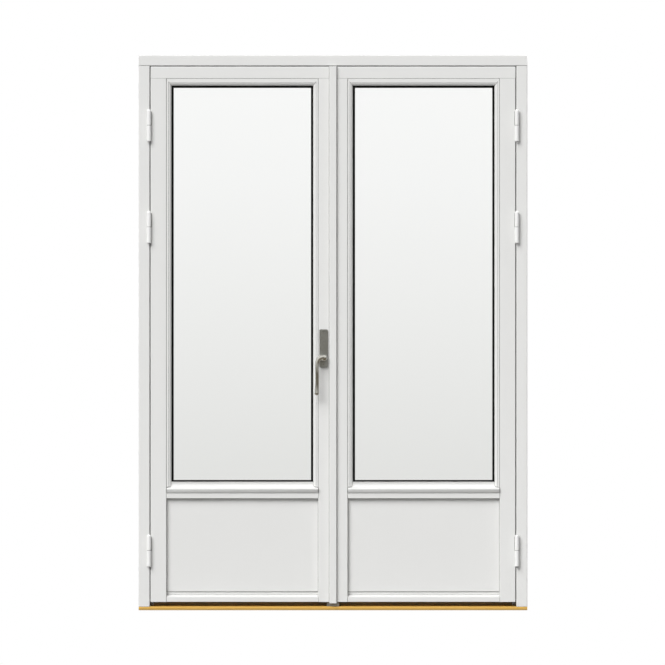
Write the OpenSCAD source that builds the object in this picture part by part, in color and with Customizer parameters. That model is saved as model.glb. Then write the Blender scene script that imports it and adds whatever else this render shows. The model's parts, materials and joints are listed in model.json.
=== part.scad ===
// A pair of glazed timber french doors in their frame.
// Millimetres. X runs along the doorway, Y from the outdoor face (-) to the indoor face (+), Z up.
// The origin is on the underside of the threshold, midway between the jambs and midway in the depth.

/* [Frame] */
// Width over the two jambs
frame_w = 1380; // [1100:10:1800]
// Height over the head, from the underside of the threshold
frame_h = 1970; // [1600:10:2400]
// Depth of the frame timbers
frame_depth = 115; // [95:5:160]
// Width of a jamb beside the leaf
jamb_face = 39.2; // [30:0.1:60]
// Height of the head above the leaf
head_face = 36.9; // [28:0.1:60]
// How far the stop laps behind the leaf
stop_lap = 13; // [9:0.5:18]
// Running gap round a leaf, beside the jamb and the head
leaf_gap = 3; // [2.5:0.1:4.5]
// Gap between the back of a leaf and the stop
seal_gap = 4; // [3:0.1:6]
// Height of the threshold at its front edge
threshold_front = 13; // [10:0.5:20]
// Rise of the threshold's wash from the front edge to the stop
threshold_wash = 6.5; // [3:0.5:12]
// Gap between the threshold and the underside of a leaf
threshold_gap = 10; // [8:0.5:16]
// Rounding of the painted edges
arris = 2.5; // [1:0.1:4]

/* [Leaf] */
// Thickness of a leaf
leaf_t = 56; // [50:1:70]
// Gap between the two leaves
meeting_gap = 4; // [3.5:0.1:6]
// Face width of the hinge stile
hinge_face = 56.5; // [48:0.5:110]
// Face width of the meeting stile
meeting_face = 50.4; // [48:0.1:80]
// Face height of the top rail
top_face = 42; // [36:0.5:110]
// Face height of the middle rail
mid_face = 35.5; // [34:0.5:110]
// Height from the underside of a leaf to the middle rail
panel_top = 367; // [250:1:700]
// Face height of the bottom rail below its wash
bottom_face = 17; // [15:0.5:80]
// Rise of the wash on the bottom rail
bottom_wash = 8.5; // [4:0.5:14]
// Height of the bottom rail behind the panel
bottom_back = 45.5; // [38:0.5:90]
// Depth of the front face of the panel behind the rails
panel_recess = 14; // [8:0.5:20]
// Thickness of the panel
panel_t = 24; // [12:1:28]
// How far the panel goes into its grooves
panel_tongue = 9; // [6:0.5:10]
// Height of the drip step at the foot of the panel
panel_drip_h = 22; // [14:1:30]
// Depth of the drip step
panel_drip = 4; // [2:0.5:6]
// Length of the tenons
tenon = 30; // [20:1:32]

/* [Glazing] */
// Face width of the side beads
bead_w = 18; // [15:0.5:24]
// Face width of the top bead
top_bead_w = 26; // [16:0.5:34]
// Height of the rear lip over the middle rail
sill_lip = 30.5; // [26:0.5:34]
// Width of gasket that shows inside the beads
gasket_show = 7.9; // [4:0.1:10]
// Thickness of each glazing gasket
gasket_t = 3; // [2:0.5:4]
// Thickness of a pane
pane_t = 4; // [3:1:6]
// Space between the two panes
cavity = 14; // [8:1:16]
// Thickness of the rear lip that the glazing bears on
lip_t = 13; // [8:0.5:16]
// Gap between the panes and the rebate
pane_edge = 5; // [3:0.5:6]
// Width of the spacer bar between the panes
spacer_w = 12; // [8:1:15]
// Radius of the moulding on a bead
ovolo = 11; // [6:0.5:12]
// Height of the bottom bead above the rebate
sill_bead_h = 24; // [20:0.5:26]
// How far the nose of the bottom bead stands out of the leaf
sill_nose = 10; // [6:0.5:16]
// Radius of the nose of the bottom bead
nose_r = 6; // [3:0.5:8]
// How far the bottom bead laps down the middle rail
sill_apron = 13; // [8:0.5:20]

/* [Meeting] */
// Width of the astragal
astragal_w = 26; // [20:1:36]
// Thickness of the astragal
astragal_t = 11; // [7:0.5:16]
// Width of the indoor cover strip
cover_w = 28; // [22:1:34]
// Thickness of the indoor cover strip
cover_t = 8; // [5:0.5:12]

/* [Hinges] */
// Heights of the hinge joints
hinge_z = [212, 1361, 1722];
// Diameter of a knuckle
knuckle_d = 15.5; // [12:0.5:18]
// Length of one knuckle
knuckle_h = 49.5; // [40:0.5:60]
// Length that a lower knuckle has over an upper one
foot_h = 8.2; // [4:0.1:12]
// Diameter of a hinge pin
pin_d = 7; // [5:0.5:8]
// Thickness of a hinge wing
wing_t = 2.5; // [2:0.1:3]
// Depth of a hinge wing behind the face
wing_y = 42; // [34:1:46]
// Distance from the hinge line to the edge of the jamb
hinge_back = 2.7; // [1:0.1:4]

/* [Handle] */
// Height of the spindle
spindle_z = 896; // [700:1:1100]
// Distance from the spindle to the centre line of the doorway
spindle_x = 33.45; // [31:0.05:34]
// Side of the square spindle
spindle_s = 7.8; // [6.8:0.1:8]
// Width of a handle plate
plate_w = 27; // [25:0.5:30]
// Height of a handle plate
plate_h = 132.6; // [110:0.2:160]
// Thickness of a handle plate
plate_t = 8; // [5:0.5:10]
// Distance from the spindle down to the lower end of the plate
plate_below = 32.7; // [28:0.1:50]
// Distance from the leaf to the middle of the grip
grip_out = 34.5; // [30:0.5:45]
// Offset of the grip from the spindle
grip_side = 22.95; // [10:0.05:40]
// Diameter of the grip
grip_d = 14; // [10:0.5:18]
// Diameter of the grip's end
grip_end_d = 18.6; // [14:0.2:24]
// Distance from the spindle down to the lower end of the grip
grip_drop = 136; // [110:1:160]

/* [Lock] */
// Teeth on the lock's pinion
pinion_teeth = 12; // [10:2:14]
// Module of the teeth
tooth_module = 1.5; // [1.5:0.25:1.75]
// Diameter of a bolt tip
bolt_d = 9; // [7:0.5:10]
// Distance from the bolts to the centre line of the doorway
bolt_x = 10; // [9:0.5:12]
// Travel of a flush bolt
flush_travel = 14; // [10:0.5:16]
// Thickness of the lock case
case_t = 16; // [14:0.5:18]

/* [Fixings] */
// Diameter of the fixing holes in the jambs
fixing_d = 8; // [6:0.5:10]
// Distance between the outer pair of fixing holes
fixing_outer = 1500; // [1200:10:1520]
// Distance between the inner pair of fixing holes
fixing_inner = 500; // [300:10:600]

/* [Hidden] */
$fn = 48;

// Clearance of a fitted joint, and of a sliding one
fit = 0.2;
slide_fit = 0.5;
// A cut runs this far past the surface it opens
past = 1;

paint = "#E6E6E4";
oak = "#DBB15C";
rubber = "#101010";
steel = "#B9BAB6";
brass = "#8C8672";
clear = "#DDE8E6";

// Frame
half_w = frame_w / 2;
front = -frame_depth / 2;
back = frame_depth / 2;
leaf_back = front + leaf_t;
stop_y = leaf_back + seal_gap;
jamb_in = half_w - jamb_face;
stop_in = jamb_in - stop_lap;
head_z = frame_h - head_face;
wash_z = threshold_front + threshold_wash;
sill_fall = 5;
sill_fall_w = 14;
seal_foot_w = 8;
seal_foot_t = 1.4;
seal_bulb = (seal_gap - 0.3) / 2;
seal_in = 6;
fixing_y = -20;
fixing_sink = 6;
frame_screw_r = 2.5;
frame_screw_head_r = 5;
frame_screw_sink = 1;
frame_screw_l = 75;
frame_screw_x = half_w - jamb_face / 2;
frame_screw_y = [front + 28, back - 28];

// Leaf
leaf_out = jamb_in - leaf_gap;
leaf_in = meeting_gap / 2;
leaf_z0 = wash_z + threshold_gap;
leaf_z1 = head_z - leaf_gap;
sill_stop_z = leaf_z0 + stop_lap - 0.5;
mid_y = (front + leaf_back) / 2;
rebate_out = leaf_out - hinge_face;
rebate_in = leaf_in + meeting_face;
mirror_x = -(rebate_out + rebate_in) / 2;
mid_z0 = leaf_z0 + panel_top;
mid_z1 = mid_z0 + mid_face;
top_z0 = leaf_z1 - top_face;
lip_y = leaf_back - lip_t;
rebate_w = bead_w + gasket_show;
top_rebate = top_bead_w + gasket_show;
sight_top = top_z0 - top_rebate;
sight_bottom = mid_z1 + sill_lip;
tenon_t = 20;
tenon_w = 28;
tenon_in = 6;
drip_groove = 4;
moulding_r = 3;
relief = 0.8;
astragal_below = 5;
astragal_above = 1.5;
cover_short = 4;

// Panel
panel_y0 = front + panel_recess;
panel_y1 = panel_y0 + panel_t;
wash_y = panel_y0 + panel_drip - fit;
bottom_z1 = leaf_z0 + bottom_face;
groove_z0 = leaf_z0 + bottom_face - 2.5;
panel_z0 = groove_z0 + 1;
panel_z1 = mid_z0 + panel_tongue;
bottom_tenon = [leaf_z0 + 3.5, groove_z0 - 1];
mid_tenon = [panel_z1 + 4, mid_z1 - 4];

// Glazing, from the front of the inner gasket outwards
inner_pane_y1 = lip_y - gasket_t;
inner_pane_y0 = inner_pane_y1 - pane_t;
outer_pane_y1 = inner_pane_y0 - cavity;
outer_pane_y0 = outer_pane_y1 - pane_t;
bead_y1 = outer_pane_y0 - gasket_t;
bead_y0 = front + 0.6;
bead_d = bead_y1 - bead_y0;
pane_x0 = -rebate_out + pane_edge;
pane_x1 = -rebate_in - pane_edge;
pane_z0 = mid_z1 + pane_edge;
pane_z1 = top_z0 - pane_edge;
quirk = 1.2;
mitre_gap = 0.1;

// The cove of the bottom bead, and the round nose that it runs out to
cove_land = 4;
cove_floor = 5;
sill_bead_z1 = mid_z1 + sill_bead_h;
nose_y = front - sill_nose;
cove_y = nose_y + nose_r;
cove_r = min(sill_bead_h - cove_land - cove_floor, bead_y1 - cove_land - cove_y);
cove_z = sill_bead_z1 - cove_land;
nose_z = cove_z - cove_r - nose_r;
apron_t = 1.5;

// Hinges
hinge_x = jamb_in + hinge_back;
knuckle_r = knuckle_d / 2;
hinge_y = front - knuckle_r - 0.5;
pin_r = pin_d / 2;
split = 0.5;
wing_h = knuckle_h - 1;
screw_spots = [[13, 12], [31, 26], [13, 40]];
hinge_screw_r = 2;
hinge_screw_l = 21;
head_r = 4;
head_sink = 0.1;
screw_fit = 0.05;
foot_ease = 2.2;
parting_ease = 0.9;
cap_step = 0.2;
pin_short = 8;

// Handle
plate_z0 = spindle_z - plate_below;
plate_z1 = plate_z0 + plate_h;
hub_r = 12;
collar_r = 10;
plate_screw_z = [plate_z0 + 9.5, plate_z1 - 8];
plate_screw_l = 17;
plate_screw_r = 2;
plate_head_r = 4.6;
plate_r = 2.5;
dome_in = 4;
neck_r = 9;
elbow_r = 7.7;
elbow_drop = 28;
grip_flare = 22;
spindle_grip = 11;

// Lock
pitch_r = pinion_teeth * tooth_module / 2;
rod_travel = pitch_r * PI / 2;
addendum = 0.85 * tooth_module;
dedendum = 1.15 * tooth_module;
tooth_pitch = PI * tooth_module;
tooth_half = 0.2 * tooth_pitch;
tooth_root = dedendum + 0.3;
tooth_lean = 0.45;
rack_back = 3;
bolt_r = bolt_d / 2;
rod_w = 10;
rod_t = 5;
rack_t = rod_w / 2 - 0.3;
tip_l = 30;
bridge_h = 7;
// The two rods draw back towards each other, and the lower one stops short of the upper one's rack
bridge_z1 = spindle_z - 2 * tooth_pitch - 2 * rod_travel - past;
case_z0 = bridge_z1 - bridge_h - 3;
case_z1 = spindle_z + 6 * tooth_pitch + rod_travel;
hub_bearing = 6.6;
channel_t = rod_t + 3;
faceplate_t = 3;
faceplate_r = 4;
edge_x = -leaf_in;
channel_x = edge_x - faceplate_t;
case_x0 = -spindle_x - pitch_r - dedendum - rack_back - 1.8;
case_x1 = channel_x - channel_t - 0.5;
case_wall = 1.2;
faceplate_z0 = leaf_z0 + 20;
faceplate_z1 = leaf_z1 - 20;
keep_t = 3;
keep_r = 3;
keep_w = 44;
keep_d = 24;
keep_hole = bolt_r + 1;
sill_keep_z1 = leaf_z0 - 2.5;
sill_keep_z0 = threshold_front - 1;
flush_plate_h = 140;
flush_knob_h = 14;
flush_rod_l = 184;
flush_plate_in = 45;
flush_knob_in = 148;
flush_knob_w = 8;
flush_slot = [flush_knob_in - slide_fit, flush_knob_in + flush_knob_h + flush_travel + slide_fit];

// ---- Shapes that several pieces share ----

// A 2D corner to cut away, which leaves a quarter round of radius r
module corner(x, y, sx, sy, r) {
  if (r > 0)
    translate([x, y])
      mirror([sx < 0 ? 1 : 0, 0]) mirror([0, sy < 0 ? 1 : 0])
        difference() {
          translate([-past, -past]) square(r + past);
          translate([r, r]) circle(r);
        }
}

// A 2D rectangle with its own radius at each corner
module rounded(x0, x1, y0, y1, r00 = 0, r10 = 0, r11 = 0, r01 = 0) {
  difference() {
    translate([x0, y0]) square([x1 - x0, y1 - y0]);
    corner(x0, y0, 1, 1, r00);
    corner(x1, y0, -1, 1, r10);
    corner(x1, y1, -1, -1, r11);
    corner(x0, y1, 1, -1, r01);
  }
}

// A profile drawn in Y and Z, run along X
module along_x(x0, x1) {
  translate([x0, 0, 0]) rotate([90, 0, 90]) linear_extrude(x1 - x0) children();
}

// A profile drawn in X and Z, run along Y
module along_y(y0, y1) {
  translate([0, y1, 0]) rotate([90, 0, 0]) linear_extrude(y1 - y0) children();
}

// A profile drawn in X and Y, run up Z
module along_z(z0, z1) {
  translate([0, 0, z0]) linear_extrude(z1 - z0) children();
}

module block(x0, x1, y0, y1, z0, z1) {
  translate([x0, y0, z0]) cube([x1 - x0, y1 - y0, z1 - z0]);
}

// A round bar between two points
module bar(p, q, r1, r2) {
  d = q - p;
  translate(p) rotate([0, acos(d[2] / norm(d)), atan2(d[1], d[0])])
    cylinder(h = norm(d), r1 = r1, r2 = r2);
}

// Everything on the right is the left side mirrored
module right() {
  mirror([1, 0, 0]) children();
}

// The meeting side of a leaf is its hinge side mirrored about the middle of the glazing
module meeting() {
  translate([2 * mirror_x, 0, 0]) mirror([1, 0, 0]) children();
}

// ---- Frame ----

module jamb() {
  difference() {
    union() {
      along_z(threshold_front, head_z) rounded(-half_w, -jamb_in, front, back, arris, arris, 0, arris);
      along_z(threshold_front, head_z) rounded(-jamb_in - arris, -stop_in, stop_y, back, 0, arris, arris, 0);
    }
    for (z = hinge_z) frame_wing_room(z);
    fixing_holes();
    jamb_screw_holes();
  }
}

module fixing_holes() {
  for (span = [fixing_outer, fixing_inner], s = [-1, 1])
    translate([0, fixing_y, frame_h / 2 + s * span / 2]) rotate([0, -90, 0]) {
      cylinder(h = half_w + past, d = fixing_d);
      translate([0, 0, jamb_in - past]) cylinder(h = fixing_sink + past, r = fixing_d);
    }
}

// A screw that holds the head or the threshold to a jamb, sunk a little under the surface
module frame_screw(r, extra) {
  translate([0, 0, -frame_screw_l]) cylinder(h = frame_screw_l - frame_screw_sink, r = r);
  translate([0, 0, -frame_screw_head_r]) cylinder(h = frame_screw_head_r - frame_screw_sink + extra,
    r1 = r, r2 = frame_screw_head_r + extra);
}

module at_frame_screws() {
  for (s = [-1, 1], y = frame_screw_y) {
    translate([s * frame_screw_x, y, frame_h]) children();
    translate([s * frame_screw_x, y, 0]) mirror([0, 0, 1]) children();
  }
}

module jamb_screw_holes() {
  at_frame_screws() frame_screw(frame_screw_r + fit / 2, frame_screw_sink + fit / 2);
}

module head() {
  color(paint) difference() {
    union() {
      along_x(-half_w, half_w) rounded(front, back, head_z, frame_h, arris, 0, arris, arris);
      along_x(-stop_in, stop_in) rounded(stop_y, back, head_z - stop_lap, head_z + arris, 0, arris, 0, 0);
    }
    block(-keep_w / 2 - fit, keep_w / 2 + fit, mid_y - keep_d / 2 - fit, mid_y + keep_d / 2 + fit,
      head_z - past, head_z + keep_t);
    for (s = [-1, 1])
      translate([s * bolt_x, mid_y, head_z - past]) cylinder(h = rod_travel + keep_t + past, r = keep_hole);
    jamb_screw_holes();
  }
}

module left_jamb() {
  color(paint) jamb();
}

module right_jamb() {
  color(paint) right() jamb();
}

module threshold() {
  color(oak) difference() {
    along_x(-half_w, half_w) difference() {
      polygon([
        [front, 0], [front, threshold_front], [front + arris, threshold_front], [stop_y, wash_z],
        [stop_y, sill_stop_z], [back - sill_fall_w, sill_stop_z], [back, sill_stop_z - sill_fall], [back, 0]
      ]);
      corner(front, threshold_front, 1, -1, arris);
      corner(stop_y, sill_stop_z, 1, -1, arris);
    }
    for (s = [0, 1]) mirror([s, 0, 0]) {
      block(-half_w - past, -jamb_in + fit, front - past, back + past, threshold_front, frame_h);
      block(-jamb_in - past, -stop_in + fit, stop_y, back + past, threshold_front, frame_h);
    }
    block(-keep_w / 2 - fit, keep_w / 2 + fit, mid_y - keep_d / 2 - fit, mid_y + keep_d / 2 + fit,
      sill_keep_z0, frame_h);
    jamb_screw_holes();
  }
}

// A strip with a round bulb that a leaf closes against, drawn with its foot on the stop
module seal_section() {
  translate([-seal_foot_w / 2, -seal_foot_t]) square([seal_foot_w, seal_foot_t]);
  translate([0, -seal_bulb]) circle(seal_bulb);
}

module frame_seal() {
  z1 = head_z - seal_in;
  z0 = leaf_z0 + seal_in;
  color(rubber) {
    for (s = [0, 1]) mirror([s, 0, 0])
      along_z(z0 + seal_foot_w / 2 + past, z1 - seal_foot_w / 2 - past)
        translate([-jamb_in + seal_in + past, stop_y]) seal_section();
    along_x(-jamb_in + 2 * past, jamb_in - 2 * past) translate([stop_y, z1]) rotate(-90) seal_section();
    along_x(-stop_in + past, stop_in - past) translate([stop_y, z0]) rotate(-90) seal_section();
  }
}

module frame_screws() {
  color(steel) at_frame_screws() frame_screw(frame_screw_r, 0);
}

module keep_holes(z0, z1) {
  for (s = [-1, 1]) translate([s * bolt_x, mid_y, z0 - past]) cylinder(h = z1 - z0 + 2 * past, r = keep_hole);
}

module keep_outline() {
  rounded(-keep_w / 2, keep_w / 2, mid_y - keep_d / 2, mid_y + keep_d / 2, keep_r, keep_r, keep_r, keep_r);
}

module head_keep() {
  color(steel) difference() {
    along_z(head_z, head_z + keep_t) keep_outline();
    keep_holes(head_z, head_z + keep_t);
  }
}

module sill_keep() {
  color(steel) difference() {
    along_z(sill_keep_z0, sill_keep_z1) keep_outline();
    keep_holes(sill_keep_z0, sill_keep_z1);
  }
}

// ---- Hinges ----

// A hinge knuckle from one height to another, with its own chamfer at each end
module knuckle(z0, z1, ease0, ease1) {
  translate([0, 0, z0]) cylinder(h = ease0, r1 = knuckle_r - ease0, r2 = knuckle_r);
  translate([0, 0, z0 + ease0]) cylinder(h = z1 - z0 - ease0 - ease1, r = knuckle_r);
  translate([0, 0, z1 - ease1]) cylinder(h = ease1, r1 = knuckle_r, r2 = knuckle_r - ease1);
}

// The lower half of a hinge, which is let into the jamb
module frame_half(z) {
  difference() {
    union() {
      translate([-hinge_x, hinge_y, z]) knuckle(-knuckle_h - foot_h, -split, foot_ease, parting_ease);
      block(-jamb_in - wing_t, -jamb_in, hinge_y + hinge_back, front + wing_y, z - wing_h, z - split);
    }
    translate([-hinge_x, hinge_y, z - knuckle_h]) cylinder(h = knuckle_h + past, r = pin_r);
    frame_screws_at(z, screw_fit);
  }
}

module frame_wing_room(z) {
  block(-jamb_in - wing_t, -jamb_in + past, front - past, front + wing_y + fit,
    z - wing_h - fit, z - split + fit);
  frame_screws_at(z, screw_fit);
}

// The upper half of a hinge, which is let into the edge of the leaf and has a domed top
module leaf_half(z) {
  difference() {
    union() {
      translate([-hinge_x, hinge_y, z]) {
        knuckle(split, knuckle_h, parting_ease, cap_step);
        translate([0, 0, knuckle_h]) sphere(knuckle_r - cap_step - fit);
      }
      block(-leaf_out, -leaf_out + wing_t, hinge_y, front + wing_y, z + split, z + wing_h);
    }
    translate([-hinge_x, hinge_y, z - past]) cylinder(h = knuckle_h - pin_short + 2 * past, r = pin_r + fit);
    leaf_screws_at(z, screw_fit);
  }
}

module leaf_wing_room(z) {
  block(-leaf_out - past, -leaf_out + wing_t, front - past, front + wing_y + fit,
    z + split - fit, z + wing_h + fit);
  leaf_screws_at(z, screw_fit);
}

// A countersunk screw along +X, with the face of its head at the origin
module hinge_screw(grow) {
  rotate([0, 90, 0]) {
    translate([0, 0, head_sink])
      cylinder(h = head_r - hinge_screw_r + fit, r1 = head_r + grow, r2 = hinge_screw_r + grow);
    translate([0, 0, head_r - hinge_screw_r])
      cylinder(h = hinge_screw_l - 2 + grow, r = hinge_screw_r + grow);
    if (grow > 0) translate([0, 0, -past]) cylinder(h = past + head_sink + 0.01, r = head_r + grow);
  }
}

module frame_screws_at(z, grow) {
  for (p = screw_spots) translate([-jamb_in, front + p[0], z - p[1]]) mirror([1, 0, 0]) hinge_screw(grow);
}

module leaf_screws_at(z, grow) {
  for (p = screw_spots) translate([-leaf_out, front + p[0], z + p[1]]) hinge_screw(grow);
}

module left_hinge_frame_halves() {
  color(paint) for (z = hinge_z) frame_half(z);
}

module right_hinge_frame_halves() {
  color(paint) right() for (z = hinge_z) frame_half(z);
}

module left_hinge_leaf_halves() {
  color(paint) for (z = hinge_z) leaf_half(z);
}

module right_hinge_leaf_halves() {
  color(paint) right() for (z = hinge_z) leaf_half(z);
}

module hinge_pins() {
  color(steel) for (s = [-1, 1], z = hinge_z)
    translate([s * hinge_x, hinge_y, z - knuckle_h]) cylinder(h = 2 * knuckle_h - pin_short, r = pin_r);
}

module hinge_screws_frame() {
  color(steel) for (s = [0, 1], z = hinge_z) mirror([s, 0, 0]) frame_screws_at(z, 0);
}

module left_hinge_screws() {
  color(steel) for (z = hinge_z) leaf_screws_at(z, 0);
}

module right_hinge_screws() {
  color(steel) right() for (z = hinge_z) leaf_screws_at(z, 0);
}

// ---- Leaf timbers, drawn for the left leaf ----

// A stile at the hinge side of the glazing, of a given face width
module stile(face) {
  edge = -rebate_out - face;
  difference() {
    union() {
      along_z(leaf_z0, top_z0) rounded(edge, -rebate_out, front, leaf_back, arris, arris, arris, arris);
      along_z(mid_z1, top_z0)
        rounded(-rebate_out - arris, -rebate_out + rebate_w, lip_y, leaf_back, 0, 0, arris, 0);
      block(-rebate_out - tenon_in - tenon_w, -rebate_out - tenon_in,
        mid_y - tenon_t / 2, mid_y + tenon_t / 2, top_z0 - past, top_z0 + tenon);
    }
    block(-rebate_out - panel_tongue - 1, -rebate_out + past, panel_y0 - fit, panel_y1 + fit,
      groove_z0, panel_z1 + 1);
    block(-rebate_out - tenon - 1, -rebate_out + past, mid_y - tenon_t / 2 - fit, mid_y + tenon_t / 2 + fit,
      bottom_tenon[0] - fit, bottom_tenon[1] + fit);
    block(-rebate_out - tenon - 1, -rebate_out + past, mid_y - tenon_t / 2 - fit, mid_y + tenon_t / 2 + fit,
      mid_tenon[0] - fit, mid_tenon[1] + fit);
  }
}

// The room that a stile's tenon takes in the top rail
module stile_tenon_room() {
  block(-rebate_out - tenon_in - tenon_w - fit, -rebate_out - tenon_in + fit,
    mid_y - tenon_t / 2 - fit, mid_y + tenon_t / 2 + fit, top_z0 - past, top_z0 + tenon + 1);
}

module rail_tenon(z) {
  block(-rebate_out - tenon, -rebate_in + tenon, mid_y - tenon_t / 2, mid_y + tenon_t / 2, z[0], z[1]);
}

module top_rail() {
  difference() {
    union() {
      along_x(-leaf_out, -leaf_in) rounded(front, leaf_back, top_z0, leaf_z1, arris / 2, arris, arris, arris);
      along_x(-rebate_out + rebate_w, -rebate_in - rebate_w)
        rounded(lip_y, leaf_back, sight_top, top_z0 + arris, 0, arris, 0, 0);
    }
    stile_tenon_room();
    meeting() stile_tenon_room();
  }
}

module mid_rail() {
  difference() {
    union() {
      along_x(-rebate_out, -rebate_in) rounded(front, leaf_back, mid_z0, mid_z1, arris, arris, 0, arris / 2);
      along_x(-rebate_out + rebate_w, -rebate_in - rebate_w)
        rounded(lip_y, leaf_back, mid_z1 - past, sight_bottom, 0, 0, arris, 0);
      rail_tenon(mid_tenon);
    }
    block(-rebate_out - past, -rebate_in + past, panel_y0 - fit, panel_y1 + fit, mid_z0 - past, panel_z1 + 1);
  }
}

module bottom_rail() {
  along_x(-rebate_out, -rebate_in) difference() {
    polygon([
      [front, leaf_z0], [front, bottom_z1], [wash_y, bottom_z1 + bottom_wash], [wash_y, groove_z0],
      [panel_y1 + fit, groove_z0], [panel_y1 + fit, leaf_z0 + bottom_back],
      [leaf_back, leaf_z0 + bottom_back], [leaf_back, leaf_z0]
    ]);
    corner(front, leaf_z0, 1, 1, arris / 2);
    corner(leaf_back, leaf_z0 + bottom_back, -1, -1, arris);
    translate([front + 2 * drip_groove, leaf_z0 - past]) square([drip_groove, drip_groove + past]);
  }
  rail_tenon(bottom_tenon);
}

module panel() {
  difference() {
    block(-rebate_out - panel_tongue, -rebate_in + panel_tongue, panel_y0, panel_y1, panel_z0, panel_z1);
    block(-rebate_out - panel_tongue - past, -rebate_in + panel_tongue + past, panel_y0 - past,
      panel_y0 + panel_drip, panel_z0 - past, panel_z0 + panel_drip_h);
  }
}

// The grooves for the lock rods in the edge of the active leaf
module lock_grooves() {
  block(channel_x - channel_t, channel_x + past, mid_y - rod_w / 2 - slide_fit, mid_y + rod_w / 2 + slide_fit,
    leaf_z0 - past, leaf_z1 + past);
  block(channel_x, edge_x + past, mid_y - case_t / 2 - fit, mid_y + case_t / 2 + fit,
    faceplate_z0 - fit, faceplate_z1 + fit);
  translate([-bolt_x, mid_y, leaf_z0 - past])
    cylinder(h = leaf_z1 - leaf_z0 + 2 * past, r = bolt_r + slide_fit);
}

module lock_room() {
  lock_grooves();
  block(case_x0 - fit, channel_x + past, mid_y - case_t / 2 - fit, mid_y + case_t / 2 + fit,
    case_z0 - fit, case_z1 + fit);
  translate([-spindle_x, 0, spindle_z]) rotate([90, 0, 0])
    cylinder(h = frame_depth, r = collar_r - 1, center = true);
  plate_screw_holes();
}

// The rooms for the flush bolts in the edge of the passive leaf, drawn on its own side
module flush_rooms() {
  for (end = [0, 1]) flush_end(end) {
    translate([bolt_x, mid_y, -past]) cylinder(h = flush_rod_l + past + 2, r = bolt_r + slide_fit);
    block(leaf_in - past, leaf_in + faceplate_t, mid_y - case_t / 2 - fit, mid_y + case_t / 2 + fit,
      flush_plate_in - fit, flush_plate_in + flush_plate_h + fit);
    block(leaf_in, bolt_x, mid_y - flush_knob_w / 2 - slide_fit, mid_y + flush_knob_w / 2 + slide_fit,
      flush_slot[0] - slide_fit, flush_slot[1] + slide_fit);
  }
}

// Puts what is drawn upwards from the foot of the leaf there, or head down from its top
module flush_end(top) {
  if (top) translate([0, 0, leaf_z1]) mirror([0, 0, 1]) children();
  else translate([0, 0, leaf_z0]) children();
}

module left_hinge_stile() {
  color(paint) difference() {
    stile(hinge_face);
    for (z = hinge_z) leaf_wing_room(z);
  }
}

module right_hinge_stile() {
  color(paint) right() difference() {
    stile(hinge_face);
    for (z = hinge_z) leaf_wing_room(z);
  }
}

module left_meeting_stile() {
  color(paint) difference() {
    meeting() stile(meeting_face);
    lock_room();
  }
}

module right_meeting_stile() {
  color(paint) difference() {
    right() meeting() stile(meeting_face);
    flush_rooms();
  }
}

module left_top_rail() {
  color(paint) difference() {
    top_rail();
    lock_grooves();
  }
}

module right_top_rail() {
  color(paint) difference() {
    right() top_rail();
    flush_rooms();
  }
}

module left_mid_rail() { color(paint) mid_rail(); }
module right_mid_rail() { color(paint) right() mid_rail(); }
module left_bottom_rail() { color(paint) bottom_rail(); }
module right_bottom_rail() { color(paint) right() bottom_rail(); }
module left_panel() { color(paint) panel(); }
module right_panel() { color(paint) right() panel(); }

// ---- Glazing, drawn for the left leaf ----

module pane(y0, y1) {
  block(pane_x0, pane_x1, y0, y1, pane_z0, pane_z1);
}

// A flat ring round the glass, between an outline set in by out and the sight line set back by in
module glazing_ring(out, in, y0, y1) {
  difference() {
    block(-rebate_out + out, -rebate_in - out, y0, y1, mid_z1 + out, top_z0 - out);
    block(-rebate_out + rebate_w - in, -rebate_in - rebate_w + in, y0 - past, y1 + past,
      sight_bottom - in, sight_top + in);
  }
}

module spacer() {
  difference() {
    block(pane_x0, pane_x1, outer_pane_y1, inner_pane_y0, pane_z0, pane_z1);
    block(pane_x0 + spacer_w, pane_x1 - spacer_w, outer_pane_y1 - past, inner_pane_y0 + past,
      pane_z0 + spacer_w, pane_z1 - spacer_w);
  }
}

module gaskets() {
  glazing_ring(1, 0, bead_y1, outer_pane_y0);
  glazing_ring(1, 0, inner_pane_y1, lip_y);
}

// A bead from the rebate to the glass, with a flat, a quirk and a quarter round
module bead_section(w) {
  difference() {
    square([w, bead_d]);
    corner(0, 0, 1, 1, quirk);
    translate([w - ovolo, -past]) square([ovolo + past, quirk + ovolo + past]);
  }
  translate([w - ovolo, quirk + ovolo]) intersection() {
    circle(ovolo);
    translate([0, -ovolo]) square(ovolo);
  }
}

module side_bead() {
  difference() {
    along_z(mid_z1, top_z0 - fit) translate([-rebate_out + fit, bead_y0]) bead_section(bead_w - fit);
    mitre_cut(mitre_gap);
    sill_scribe();
  }
}

// The room above the mitre, from the corner of the rebate to the inner corner of the beads
module mitre_cut(gap) {
  run = bead_w;
  rise = top_bead_w;
  along_y(front - past, bead_y1 + past) polygon([
    [-rebate_out - run, top_z0 + rise - gap], [-rebate_out + 2 * run, top_z0 - 2 * rise - gap],
    [-rebate_out + 4 * run, top_z0], [-rebate_out, top_z0 + 2 * rise]
  ]);
}

module top_bead() {
  intersection() {
    along_x(-rebate_out + fit, -rebate_in - fit)
      translate([bead_y0, top_z0 - fit]) rotate(-90) bead_section(top_bead_w - fit);
    mitre_keep();
    meeting() mitre_keep();
  }
}

module mitre_keep() {
  run = bead_w;
  rise = top_bead_w;
  along_y(front - past, bead_y1 + past) polygon([
    [-rebate_out - run, top_z0 + rise], [-rebate_out + 2 * run, top_z0 - 2 * rise],
    [-rebate_in + run, top_z0 - 2 * rise], [-rebate_in + run, top_z0 + rise]
  ]);
}

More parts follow.
